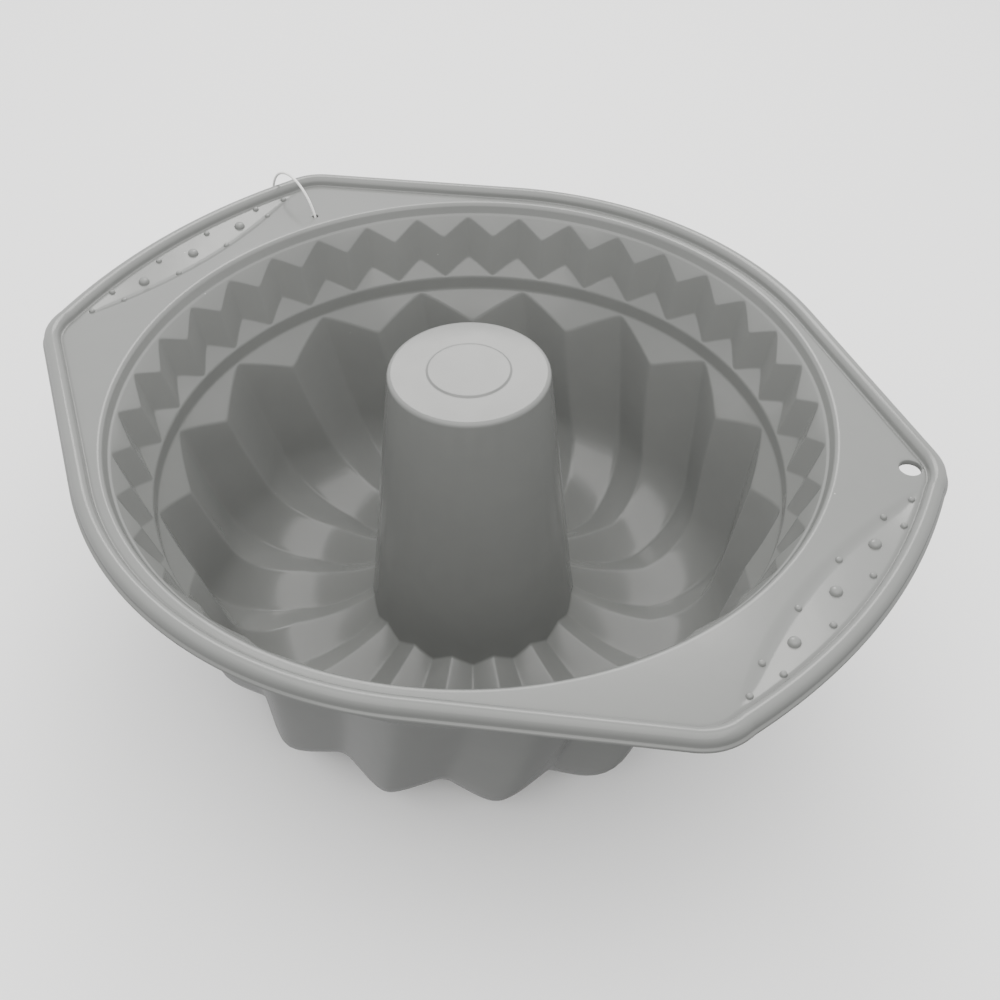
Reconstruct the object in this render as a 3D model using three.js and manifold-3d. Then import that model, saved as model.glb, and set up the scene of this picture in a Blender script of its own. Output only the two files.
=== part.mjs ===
// Fluted ring-cake mould in soft silicone, with two lift handles and a nylon tag loop.
// Millimetres, +Z up. The mould stands on its flute bottoms at z = 0, the handles lie along X.

import * as THREE from 'three';
import { mergeVertices } from 'three/addons/utils/BufferGeometryUtils.js';
import Module from 'manifold-3d';

// Driving dimensions of the moulding. Heights of the section count from the flange top.
const WALL = 2.0; // silicone thickness of bowl, core and flange
const MOUTH_R = 110; // cavity radius at the flange top
const CAVITY_DEPTH = 97; // flange top to the groove bottoms
const FOOT_FLAT = 0.5; // flat taken off each flute bottom to stand on
const RIM_HEIGHT = CAVITY_DEPTH + WALL - FOOT_FLAT; // resting plane to flange top
const RIM_WIDTH = 9.1; // flange from the mouth to its outer edge, between the handles
const FLANGE_R = MOUTH_R + RIM_WIDTH;

// Handles: an ear at each end of the X axis.
const EAR_REACH = 19.1; // how far the middle of the ear stands out from the flange's circle
const HANDLE_REACH = FLANGE_R + EAR_REACH;
const EAR_SETBACK = 8.7; // ear corner behind the middle of the ear
const EAR_HALF = 60.5; // ear corner from the X axis
const EAR_CORNER = new THREE.Vector2(HANDLE_REACH - EAR_SETBACK, EAR_HALF); // before its round
const EAR_ROUND = 9; // length along each edge taken up by the corner round

// Rim bead along the whole outline.
const LIP = 0.7; // flange edge left showing outside the bead
const BEAD_W = 5.0;
const BEAD_RISE = 2.8; // bead top above the flange top
const BEAD_DROP = 1.2; // bead root below the flange top

// Pleated band: sharp vertical pleats between two sloping ledges. Insets count from the mouth.
const PLEATS = 36;
const MOUTH_STEP = { inset: 2.4, z: -3.6 };
const PLEAT_TOP_OUT = { inset: 3.1, z: -4.3 };
const PLEAT_TOP_IN = { inset: 7.0, z: -9.5 };
const PLEAT_FOOT_OUT = { inset: 7.2, z: -18.5 };
const PLEAT_FOOT_IN = { inset: 10.9, z: -23.9 };
const BAND_TOP = { inset: 11.2, z: -24.6 };
const BAND_FOOT = { inset: 12.0, z: -29.0 };

// Flutes: V grooves that swirl by half a pitch on their way down, then run straight to the core.
const FLUTES = 16;
const FLUTE_PITCH = (2 * Math.PI) / FLUTES;
const FLUTE_PHASE = FLUTE_PITCH / 4;
const FLUTE_SWIRL = -FLUTE_PITCH / 2;
const FLUTE_TOP_OUT = { inset: 12.6, z: -29.8 };
const FLUTE_TOP_IN = { inset: 18.8, z: -39.1 };
const WALL_STEPS = 4;
const ROUND_STEPS = 6;
const TROUGH_INSET = 47.8; // lowest circle of the cavity, from the mouth
const TROUGH_R = MOUTH_R - TROUGH_INSET;
const TROUGH_ROUND_OUT = 28; // round along a groove bottom
const TROUGH_Z = TROUGH_ROUND_OUT - CAVITY_DEPTH; // height of the centre of the trough's round
const TROUGH_ROUND_IN = 21.5; // round along a ridge

// Core: hollow cone open below, closed on top with a low round pad.
const CORE_RISE = 10.6; // core top above the flange top
const CORE_BASE_R = 34.7;
const CORE_BASE_RISE = 11.4; // core foot above the groove bottoms
const CORE_BASE_Z = CORE_BASE_RISE - CAVITY_DEPTH;
const CORE_SCALLOP = 3; // rise of the core's foot from a groove to a ridge
const CORE_TOP_R = 24.7;
const CORE_EDGE = 2.5;
const PAD_R = 12.8;
const PAD_RISE = 0.5;

// Grip recess and its bumps, the same on both ears: a lens with sloping sides.
const GRIP_DEPTH = 0.9;
const GRIP_SLOPE = 2; // run of the sloping sides
const GRIP_TO_EDGE = 6.6; // outer side of the lens, from the ear's edge
const GRIP_WIDTH = 15.9;
const GRIP_HALF = 49; // lens tip from the X axis
const GRIP_END_SLOPE = 6; // run of the slope at the lens's tips
const GRIP_OUTER_X = HANDLE_REACH - GRIP_TO_EDGE;
const GRIP_INNER_X = GRIP_OUTER_X - GRIP_WIDTH;
const GRIP_END = new THREE.Vector2(GRIP_OUTER_X - GRIP_WIDTH / 2, GRIP_HALF);
const BIG_BUMP = { r: 1.75, h: 1.4 };
const SMALL_BUMP = { r: 1.0, h: 0.9 };
const BUMP_ROW_X = GRIP_OUTER_X - 0.46 * GRIP_WIDTH;
const BUMP_PITCH = 10.9; // along the ear, from one bump group to the next
const BUMP_SPREAD = [0, 5.0, 0, 3.05, 0]; // half distance of the pair in each group, from the middle out

// Hanging hole, in one corner of one ear only.
const HANG_SETBACK = { x: 11.3, y: 5.1 }; // hole from the ear corner
const HANG_HOLE = new THREE.Vector2(EAR_CORNER.x - HANG_SETBACK.x, EAR_CORNER.y - HANG_SETBACK.y);
const HANG_HOLE_R = 3.2;

// Tag loop: a nylon ring threaded through the flange and round the bead.
const TAG_THREAD_R = 0.45;
const TAG_CLEARANCE = 0.65;
const TAG_SETBACK = { x: 22, y: 17.5 }; // pierced hole from the ear corner at the other end
const TAG_HOLE = new THREE.Vector2(TAG_SETBACK.x - EAR_CORNER.x, EAR_CORNER.y - TAG_SETBACK.y);
const TAG_BEARING = THREE.MathUtils.degToRad(167.5); // direction in which the loop leaves the hole
const TAG_LOOP_R = 14.9;
const TAG_DROP = 4.5; // loop centre below the middle of the flange
const TAG_LOCK = { r: 1.5, length: 4.4 };

const SILICONE = new THREE.MeshStandardMaterial({ color: 0x9b9d98, roughness: 0.45, metalness: 0 });
const NYLON = new THREE.MeshStandardMaterial({ color: 0xf1f1ee, roughness: 0.35, metalness: 0 });

const PLEAT_COLUMNS = PLEATS * 2;
const FLUTE_COLUMNS = FLUTES * 4;

const wasm = await Module();
wasm.setup();

// Turns a three.js geometry into a solid for the boolean operations.
function solid(geometry) {
  const bare = geometry.clone();
  bare.deleteAttribute('normal');
  bare.deleteAttribute('uv');
  const merged = mergeVertices(bare, 1e-4);
  const vertProperties = new Float32Array(merged.attributes.position.array);
  const triVerts = new Uint32Array(merged.index.array);
  return new wasm.Manifold(new wasm.Mesh({ numProp: 3, vertProperties, triVerts }));
}

// Turns a solid back into a named mesh.
function meshOf(body, name, material) {
  const { numProp, vertProperties, triVerts } = body.getMesh();
  const geometry = new THREE.BufferGeometry();
  geometry.setAttribute('position', new THREE.BufferAttribute(new Float32Array(vertProperties), numProp));
  geometry.setIndex(new THREE.BufferAttribute(new Uint32Array(triVerts), 1));
  geometry.computeVertexNormals();
  const mesh = new THREE.Mesh(geometry, material);
  mesh.name = name;
  return mesh;
}

const mix = (a, b, t) => ({ r: a.r + (b.r - a.r) * t, z: a.z + (b.z - a.z) * t });
const mixes = (a, b, steps) => Array.from({ length: steps }, (_, i) => mix(a, b, (i + 1) / steps));

// Point of the cavity section from its inset.
const fromMouth = ({ inset, z }) => ({ r: MOUTH_R - inset, z });
const fold = (out, inner, w) => mix(fromMouth(out), fromMouth(inner), w);

// Cavity section from the flange to the band; w is 0 on a pleat's outer fold, 1 on its inner fold.
function pleatSection(w) {
  return [
    { r: MOUTH_R + 2 * WALL, z: 0 },
    { r: MOUTH_R, z: 0 },
    fromMouth(MOUTH_STEP),
    fold(PLEAT_TOP_OUT, PLEAT_TOP_IN, w),
    fold(PLEAT_FOOT_OUT, PLEAT_FOOT_IN, w),
    fromMouth(BAND_TOP),
    fromMouth(BAND_FOOT),
  ];
}

// Quarter round from the bowl wall down to the lowest circle.
function troughRound(w, steps) {
  const radius = THREE.MathUtils.lerp(TROUGH_ROUND_OUT, TROUGH_ROUND_IN, w);
  return Array.from({ length: steps + 1 }, (_, i) => {
    const turn = (i / steps) * (Math.PI / 2);
    return { r: TROUGH_R + radius * Math.cos(turn), z: TROUGH_Z - radius * Math.sin(turn) };
  });
}

// Rising floor from the lowest circle to the foot of the core.
function troughRise(w, steps) {
  const low = TROUGH_Z - THREE.MathUtils.lerp(TROUGH_ROUND_OUT, TROUGH_ROUND_IN, w);
  const foot = coreFoot(w);
  return Array.from({ length: steps }, (_, i) => {
    const t = (i + 1) / steps;
    return { r: TROUGH_R + (foot.r - TROUGH_R) * t, z: low + (foot.z - low) * t * t };
  });
}

// Core foot: the scallop lifts it where a ridge meets the cone.
function coreFoot(w) {
  const slope = (CORE_BASE_R - CORE_TOP_R) / (CORE_RISE - CORE_BASE_Z);
  const lift = CORE_SCALLOP * w;
  return { r: CORE_BASE_R - slope * lift, z: CORE_BASE_Z + lift };
}

// Rounded top edge of the core, the flat and the pad's edge.
function coreTop(steps) {
  const centre = { r: CORE_TOP_R - CORE_EDGE, z: CORE_RISE - CORE_EDGE };
  const edge = Array.from({ length: steps + 1 }, (_, i) => {
    const turn = (i / steps) * (Math.PI / 2);
    return { r: centre.r + CORE_EDGE * Math.cos(turn), z: centre.z + CORE_EDGE * Math.sin(turn) };
  });
  return [
    ...edge,
    { r: PAD_R, z: CORE_RISE },
    { r: PAD_R - PAD_RISE, z: CORE_RISE + PAD_RISE },
  ];
}

// Cavity section from the band to the pad; w is 0 along a groove, 1 along a ridge.
function fluteSection(w) {
  const top = fold(FLUTE_TOP_OUT, FLUTE_TOP_IN, w);
  const round = troughRound(w, ROUND_STEPS);
  return [
    fromMouth(BAND_TOP),
    fromMouth(BAND_FOOT),
    top,
    ...mixes(top, round[0], WALL_STEPS),
    ...round.slice(1),
    ...troughRise(w, 4),
    ...coreTop(4),
  ];
}

// Same section moved outward by the wall, with mitred corners.
function offset(section, distance) {
  const normals = section.slice(1).map((p, i) => {
    const dr = p.r - section[i].r;
    const dz = p.z - section[i].z;
    const length = Math.hypot(dr, dz);
    return { r: -dz / length, z: dr / length };
  });
  return section.map((p, i) => {
    const a = normals[Math.max(i - 1, 0)];
    const b = normals[Math.min(i, normals.length - 1)];
    const scale = distance / (1 + a.r * b.r + a.z * b.z);
    return { r: p.r + (a.r + b.r) * scale, z: p.z + (a.z + b.z) * scale };
  });
}

// Share of the swirl reached at one point along a flute section.
function swirlAt(index) {
  const fluteTop = 2;
  const share = THREE.MathUtils.clamp((index - fluteTop) / (WALL_STEPS + ROUND_STEPS), 0, 1);
  return FLUTE_PHASE + FLUTE_SWIRL * share;
}

// Rings of 3-D points, one ring for each point of the sections.
function rings(sections, columns, from, to, angleAt) {
  const list = [];
  for (let j = from; j < to; j += 1) {
    const ring = [];
    for (let c = 0; c < columns; c += 1) {
      const { r, z } = sections[c % sections.length][j];
      const angle = (c / columns) * 2 * Math.PI + angleAt(j);
      ring.push([r * Math.cos(angle), r * Math.sin(angle), z]);
    }
    list.push(ring);
  }
  return list;
}

// All rings of one skin of the bowl, from the flange down and up the core.
function skin(distance) {
  const pleats = [0, 1].map((w) => offset(pleatSection(w), distance));
  const flutes = [0, 0.5, 1, 0.5].map((w) => offset(fluteSection(w), distance));
  const bandTop = pleats[0].length - 1;
  return [
    ...rings(pleats, PLEAT_COLUMNS, 0, bandTop, () => 0),
    ...rings(flutes, FLUTE_COLUMNS, 1, flutes[0].length, swirlAt),
  ];
}

// Collects triangles between rings; `flip` turns the faces over.
class Weaver {
  constructor() {
    this.points = [];
    this.faces = [];
  }

  add(ring) {
    const start = this.points.length;
    this.points.push(...ring);
    return { start, count: ring.length };
  }

  face(a, b, c, flip) {
    this.faces.push(...(flip ? [a, c, b] : [a, b, c]));
  }

  // Joins two closed rings that may have different numbers of points.
  strip(upper, lower, flip) {
    const at = (ring, i) => ring.start + (i % ring.count);
    let u = 0;
    let l = 0;
    while (u < upper.count || l < lower.count) {
      const upperNext = (u + 1) / upper.count;
      const lowerNext = (l + 1) / lower.count;
      if (l >= lower.count || (u < upper.count && upperNext <= lowerNext)) {
        this.face(at(upper, u), at(lower, l), at(upper, u + 1), flip);
        u += 1;
      } else {
        this.face(at(upper, u), at(lower, l), at(lower, l + 1), flip);
        l += 1;
      }
    }
  }

  // Closes a ring with a fan round one point.
  cap(ring, point, flip) {
    const centre = this.add([point]).start;
    for (let i = 0; i < ring.count; i += 1) {
      this.face(ring.start + i, centre, ring.start + ((i + 1) % ring.count), flip);
    }
  }

  geometry() {
    const geometry = new THREE.BufferGeometry();
    geometry.setAttribute('position', new THREE.Float32BufferAttribute(this.points.flat(), 3));
    geometry.setIndex(this.faces);
    return geometry;
  }
}

// Bowl and core as one shell between the cavity skin and the same skin moved out by the wall.
function bowl() {
  const weaver = new Weaver();
  const inner = skin(0).map((ring) => weaver.add(ring));
  const outer = skin(WALL).map((ring) => weaver.add(ring));
  for (let j = 1; j < inner.length; j += 1) {
    weaver.strip(inner[j - 1], inner[j], true);
    weaver.strip(outer[j - 1], outer[j], false);
  }
  weaver.strip(inner[0], outer[0], false);
  const padZ = CORE_RISE + PAD_RISE;
  weaver.cap(inner.at(-1), [0, 0, padZ], true);
  weaver.cap(outer.at(-1), [0, 0, padZ - WALL], false);
  return solid(weaver.geometry());
}

// Point at a distance from the corner, toward another point.
function toward(corner, other, distance) {
  return corner.clone().add(other.clone().sub(corner).setLength(distance));
}

// Plan outline of the flange: a circle with two tangent ears.
function outline() {
  const bearing = EAR_CORNER.angle();
  const touch = bearing + Math.acos(FLANGE_R / EAR_CORNER.length());
  const touchPoint = new THREE.Vector2(FLANGE_R, 0).rotateAround(new THREE.Vector2(), touch);
  const sideEnd = toward(EAR_CORNER, touchPoint, EAR_ROUND);
  const edgeStart = toward(EAR_CORNER, new THREE.Vector2(HANDLE_REACH, 0), EAR_ROUND);
  const edgeControl = 2 * HANDLE_REACH - edgeStart.x;
  const path = new THREE.Path();
  path.moveTo(touchPoint.x, -touchPoint.y);
  for (const side of [1, -1]) {
    const ear = (p, flip) => [p.x * side, p.y * flip * side];
    path.lineTo(...ear(sideEnd, -1));
    path.quadraticCurveTo(...ear(EAR_CORNER, -1), ...ear(edgeStart, -1));
    path.quadraticCurveTo(edgeControl * side, 0, ...ear(edgeStart, 1));
    path.quadraticCurveTo(...ear(EAR_CORNER, 1), ...ear(sideEnd, 1));
    path.lineTo(...ear(touchPoint, 1));
    const start = side > 0 ? touch : Math.PI + touch;
    path.absarc(0, 0, FLANGE_R, start, start + Math.PI - 2 * touch, false);
  }
  path.closePath();
  return path;
}

// Evenly spread points along the outline, without the repeated last one.
function outlinePoints(count) {
  const points = outline().getSpacedPoints(count);
  points.pop();
  return points;
}

function prism(shape, bottom, top, segments = 24) {
  const geometry = new THREE.ExtrudeGeometry(shape, {
    depth: top - bottom,
    bevelEnabled: false,
    curveSegments: segments,
  });
  geometry.translate(0, 0, bottom);
  return solid(geometry);
}

function post(x, y, radius, bottom, top, segments) {
  const geometry = new THREE.CylinderGeometry(radius, radius, top - bottom, segments);
  geometry.rotateX(Math.PI / 2);
  geometry.translate(x, y, (top + bottom) / 2);
  return solid(geometry);
}

function flange(points) {
  const shape = new THREE.Shape(points);
  const mouth = new THREE.Path().absarc(0, 0, MOUTH_R + WALL, 0, 2 * Math.PI, true);
  shape.holes.push(mouth);
  return prism(shape, -WALL, 0, PLEAT_COLUMNS / 2);
}

// Rounded bead swept along the outline; each pair is the distance in from the lip and the height.
function bead(points) {
  const half = BEAD_W / 2;
  const section = [[LIP, -BEAD_DROP], [LIP, BEAD_RISE - half]];
  for (const turn of [45, 90, 135]) {
    const angle = THREE.MathUtils.degToRad(turn);
    section.push([LIP + half - half * Math.cos(angle), BEAD_RISE - half + half * Math.sin(angle)]);
  }
  section.push([LIP + BEAD_W, BEAD_RISE - half], [LIP + BEAD_W, -BEAD_DROP]);
  const count = points.length;
  const weaver = new Weaver();
  const loops = section.map(([inward, z]) => {
    const ring = points.map((p, i) => {
      const tangent = points[(i + 1) % count].clone().sub(points[(i + count - 1) % count]).normalize();
      return [p.x - tangent.y * inward, p.y + tangent.x * inward, z];
    });
    return weaver.add(ring);
  });
  loops.forEach((loop, i) => weaver.strip(loops[(i + 1) % loops.length], loop, false));
  return solid(weaver.geometry());
}

// Ring of points round the lens of one ear, drawn in by a run from its sides and another from its tips.
function lens(side, run, tipRun, z) {
  const tip = new THREE.Vector2(GRIP_END.x * side, GRIP_END.y - tipRun);
  const outerX = (2 * (GRIP_OUTER_X - run) - GRIP_END.x) * side;
  const innerX = (2 * (GRIP_INNER_X + run) - GRIP_END.x) * side;
  const path = new THREE.Path();
  path.moveTo(tip.x, -tip.y * side);
  path.quadraticCurveTo(outerX, 0, tip.x, tip.y * side);
  path.quadraticCurveTo(innerX, 0, tip.x, -tip.y * side);
  const points = path.getPoints(18);
  points.pop();
  return points.map((p) => [p.x, p.y, z]);
}

// Recess in the top of one ear: flat floor, sloping sides, open above.
function gripRecess(side) {
  const weaver = new Weaver();
  const floor = weaver.add(lens(side, GRIP_SLOPE, GRIP_END_SLOPE, -GRIP_DEPTH));
  const brim = weaver.add(lens(side, 0, 0, 0));
  const open = weaver.add(lens(side, 0, 0, BEAD_RISE));
  weaver.strip(brim, floor, false);
  weaver.strip(open, brim, false);
  const middle = ((GRIP_INNER_X + GRIP_OUTER_X) / 2) * side;
  weaver.cap(floor, [middle, 0, -GRIP_DEPTH], false);
  weaver.cap(open, [middle, 0, BEAD_RISE], true);
  return solid(weaver.geometry());
}

// Domed bump with a short root in the flange.
function bump({ r, h }, x, y) {
  const root = 0.6;
  const dome = [0, 30, 60, 90].map((turn) => {
    const angle = THREE.MathUtils.degToRad(turn);
    return new THREE.Vector2(r * Math.cos(angle), h * Math.sin(angle));
  });
  dome[dome.length - 1].x = 0;
  const profile = [new THREE.Vector2(0, -root), new THREE.Vector2(r, -root), ...dome];
  const geometry = new THREE.LatheGeometry(profile, 8);
  geometry.rotateX(Math.PI / 2);
  geometry.translate(x, y, -GRIP_DEPTH);
  return solid(geometry);
}

// Row of bumps along one ear: big ones on every second group, pairs between, a small one at each end.
function gripBumps(side) {
  const list = [];
  for (let group = -4; group <= 4; group += 1) {
    const spread = BUMP_SPREAD[Math.abs(group)];
    const y = group * BUMP_PITCH;
    const big = spread === 0 && Math.abs(group) < 4;
    const offsets = spread === 0 ? [0] : [-spread, spread];
    for (const dx of offsets) {
      list.push(bump(big ? BIG_BUMP : SMALL_BUMP, (BUMP_ROW_X + dx) * side, y));
    }
  }
  return list;
}

// The whole silicone moulding.
function mould() {
  const points = outlinePoints(112);
  let body = bowl().add(flange(points)).add(bead(points));
  for (const side of [1, -1]) {
    body = body.subtract(gripRecess(side));
    for (const dot of gripBumps(side)) {
      body = body.add(dot);
    }
  }
  body = body.subtract(post(HANG_HOLE.x, HANG_HOLE.y, HANG_HOLE_R, -2 * WALL, 2 * WALL, 24));
  const threadHole = TAG_THREAD_R + TAG_CLEARANCE;
  body = body.subtract(post(TAG_HOLE.x, TAG_HOLE.y, threadHole, -2 * WALL, 2 * WALL, 12));
  const below = new THREE.BoxGeometry(3 * FLANGE_R, 3 * FLANGE_R, 20);
  below.translate(0, 0, -RIM_HEIGHT - 10);
  return body.subtract(solid(below)).translate([0, 0, RIM_HEIGHT]);
}

// Nylon loop: a thread bent to a ring whose two ends meet inside a small lock.
function tagLoop() {
  const outward = new THREE.Vector3(Math.cos(TAG_BEARING), Math.sin(TAG_BEARING), 0);
  const centre = new THREE.Vector3(TAG_HOLE.x, TAG_HOLE.y, RIM_HEIGHT - WALL / 2 - TAG_DROP);
  centre.addScaledVector(outward, Math.sqrt(TAG_LOOP_R ** 2 - TAG_DROP ** 2));
  const gap = TAG_LOCK.length / 4 / TAG_LOOP_R;
  const ringPoints = [];
  const steps = 48;
  for (let i = 0; i <= steps; i += 1) {
    const angle = -Math.PI / 2 + gap + (2 * Math.PI - 2 * gap) * (i / steps);
    const point = centre.clone().addScaledVector(outward, -TAG_LOOP_R * Math.cos(angle));
    point.z += TAG_LOOP_R * Math.sin(angle);
    ringPoints.push(point);
  }
  const round = new THREE.Shape().absarc(0, 0, TAG_THREAD_R, 0, 2 * Math.PI, false);
  const thread = new THREE.ExtrudeGeometry(round, {
    steps: steps,
    curveSegments: 4,
    bevelEnabled: false,
    extrudePath: new THREE.CatmullRomCurve3(ringPoints),
  });
  const lock = new THREE.CylinderGeometry(TAG_LOCK.r, TAG_LOCK.r, TAG_LOCK.length, 16);
  lock.rotateZ(Math.PI / 2);
  lock.rotateZ(TAG_BEARING);
  lock.translate(centre.x, centre.y, centre.z - TAG_LOOP_R);
  return solid(thread).add(solid(lock));
}

const part = new THREE.Group();
part.name = 'bundt_mould';
part.add(meshOf(mould(), 'mould', SILICONE));
part.add(meshOf(tagLoop(), 'tag_loop', NYLON));

export default part;
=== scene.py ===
"""Looks of a silicone ring-cake mould: swirled flutes, pleated band, hollow core, two ears, tag loop."""

import logging
import math
from dataclasses import dataclass, field, replace
from enum import Enum
from typing import Any, Sequence, Union

import bmesh
import bpy
import numpy as np
from mathutils import Matrix, Vector


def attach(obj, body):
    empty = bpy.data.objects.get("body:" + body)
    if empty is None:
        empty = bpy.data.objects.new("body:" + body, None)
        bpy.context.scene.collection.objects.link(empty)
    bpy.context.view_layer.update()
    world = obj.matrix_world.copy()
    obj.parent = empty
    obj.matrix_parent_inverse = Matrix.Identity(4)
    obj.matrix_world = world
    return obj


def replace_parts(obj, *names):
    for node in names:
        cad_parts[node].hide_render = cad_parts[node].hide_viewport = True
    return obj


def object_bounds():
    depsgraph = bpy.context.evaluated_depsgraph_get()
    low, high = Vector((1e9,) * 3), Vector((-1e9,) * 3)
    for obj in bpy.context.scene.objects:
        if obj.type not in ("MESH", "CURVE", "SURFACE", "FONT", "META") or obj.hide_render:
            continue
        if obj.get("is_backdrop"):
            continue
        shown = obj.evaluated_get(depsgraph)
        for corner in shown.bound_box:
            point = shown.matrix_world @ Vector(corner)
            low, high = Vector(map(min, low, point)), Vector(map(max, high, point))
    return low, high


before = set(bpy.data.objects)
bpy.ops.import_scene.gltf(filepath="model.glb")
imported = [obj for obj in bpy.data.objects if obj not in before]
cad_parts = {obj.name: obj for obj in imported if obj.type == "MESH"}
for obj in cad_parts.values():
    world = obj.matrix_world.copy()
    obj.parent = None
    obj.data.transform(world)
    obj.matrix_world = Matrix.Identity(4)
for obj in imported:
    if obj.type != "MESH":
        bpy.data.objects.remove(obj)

LOG = logging.getLogger("ring_mould")
MM = 0.001
CAD_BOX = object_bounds()
ROUND_SHARE = 0.45
LEAST_GAP = 0.001

Number = Union[int, float]
Pair = tuple[float, float]
Colour = tuple[float, float, float, float]
# A row of a section: radius, height, angle and the reach of the round at it.
Row = tuple[Any, Any, Any, float]


class Slot(Enum):
    """Names of the material slots."""

    SILICONE = "silicone"
    NYLON = "nylon"


class Body(Enum):
    """Bodies that pieces ride on."""

    MOULD = "mould"
    TAG = "tag_loop"


class Link:
    """A shader socket that takes part in Python arithmetic."""

    def __init__(self, graph: "Graph", socket: bpy.types.NodeSocket) -> None:
        """Keeps the graph and the output socket."""
        self.graph = graph
        self.socket = socket

    def _math(self, operation: str, *values: Any) -> "Link":
        """Adds one Math node.

        Args:
            operation: Blender's name of the operation.
            values: inputs in order, links or numbers.

        Returns:
            The node's result.
        """
        return self.graph.node("ShaderNodeMath", {"operation": operation}, dict(enumerate(values)))

    def __add__(self, other: Any) -> "Link":
        """Sum."""
        return self._math("ADD", self, other)

    def __radd__(self, other: Any) -> "Link":
        """Sum with a number on the left."""
        return self._math("ADD", other, self)

    def __sub__(self, other: Any) -> "Link":
        """Difference."""
        return self._math("SUBTRACT", self, other)

    def __rsub__(self, other: Any) -> "Link":
        """Difference from a number on the left."""
        return self._math("SUBTRACT", other, self)

    def __mul__(self, other: Any) -> "Link":
        """Product."""
        return self._math("MULTIPLY", self, other)

    def __rmul__(self, other: Any) -> "Link":
        """Product with a number on the left."""
        return self._math("MULTIPLY", other, self)

    def smooth(self, low: Number, high: Number) -> "Link":
        """Smooth step from 0 at low to 1 at high.

        Args:
            low: value that gives 0.
            high: value that gives 1.

        Returns:
            The mask.
        """
        ends = {"From Min": low, "From Max": high}
        return self.graph.node(
            "ShaderNodeMapRange", {"interpolation_type": "SMOOTHSTEP"}, {"Value": self, **ends}
        )


class Graph:
    """Node tree of one material or world, with its shader."""

    def __init__(self, owner: Any, shader: str, output: str) -> None:
        """Empties the owner's tree and joins a new shader to its output.

        Args:
            owner: material or world.
            shader: type of the shader node.
            output: type of the output node.
        """
        owner.use_nodes = True
        self.owner = owner
        self.tree = owner.node_tree
        self.tree.nodes.clear()
        self.shader = self.tree.nodes.new(shader)
        end = self.tree.nodes.new(output)
        self.tree.links.new(self.shader.outputs[0], end.inputs["Surface"])

    @classmethod
    def finish(cls, name: str) -> "Graph":
        """Graph of a new material with a Principled shader."""
        material = bpy.data.materials.new(name)
        return cls(material, "ShaderNodeBsdfPrincipled", "ShaderNodeOutputMaterial")

    def node(
        self, kind: str, settings: dict[str, Any], inputs: dict[Any, Any], output: Union[int, str] = 0
    ) -> Link:
        """Adds one node.

        Args:
            kind: type of the node.
            settings: attributes set before the sockets.
            inputs: socket name or index to a link or a value.
            output: name or index of the socket to hand back.

        Returns:
            The output as a link.
        """
        made = self.tree.nodes.new(kind)
        for key, value in settings.items():
            setattr(made, key, value)
        for key, value in inputs.items():
            self._set(made.inputs[key], value)
        return Link(self, made.outputs[output])

    def _set(self, socket: bpy.types.NodeSocket, value: Any) -> None:
        """Links or sets one input.

        Args:
            socket: the input.
            value: a link or a plain value.
        """
        if isinstance(value, Link):
            self.tree.links.new(value.socket, socket)
        else:
            socket.default_value = value

    def feed(self, **inputs: Any) -> None:
        """Sets sockets of the shader; underscores stand for spaces."""
        for key, value in inputs.items():
            self._set(self.shader.inputs[key.replace("_", " ")], value)

    def place(self) -> Link:
        """Object coordinates."""
        return self.node("ShaderNodeTexCoord", {}, {}, "Object")

    def noise(self, place: Link, per_metre: float, detail: float = 3.0, rough: float = 0.55) -> Link:
        """Fractal noise from 0 to 1.

        Args:
            place: coordinates.
            per_metre: features in a metre.
            detail: octaves.
            rough: strength of each finer octave.

        Returns:
            The noise value.
        """
        values = {"Vector": place, "Scale": per_metre, "Detail": detail, "Roughness": rough}
        return self.node("ShaderNodeTexNoise", {}, values)

    def blend(self, factor: Any, first: Any, second: Any) -> Link:
        """Mix of two colours.

        Args:
            factor: 0 gives the first, 1 the second.
            first: colour or link.
            second: colour or link.

        Returns:
            The mixed colour.
        """
        made = {"Factor": factor, 6: first, 7: second}
        return self.node("ShaderNodeMix", {"data_type": "RGBA"}, made, 2)

    def bump(self, height: Link, depth: float, strength: float = 1.0, under: Any = None) -> Link:
        """Bump normal.

        Args:
            height: height from 0 to 1.
            depth: real height of 1, in metres.
            strength: share of the effect.
            under: another normal to build on.

        Returns:
            The normal.
        """
        inputs = {"Height": height, "Distance": depth, "Strength": strength}
        if under is not None:
            inputs["Normal"] = under
        return self.node("ShaderNodeBump", {}, inputs)


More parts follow.
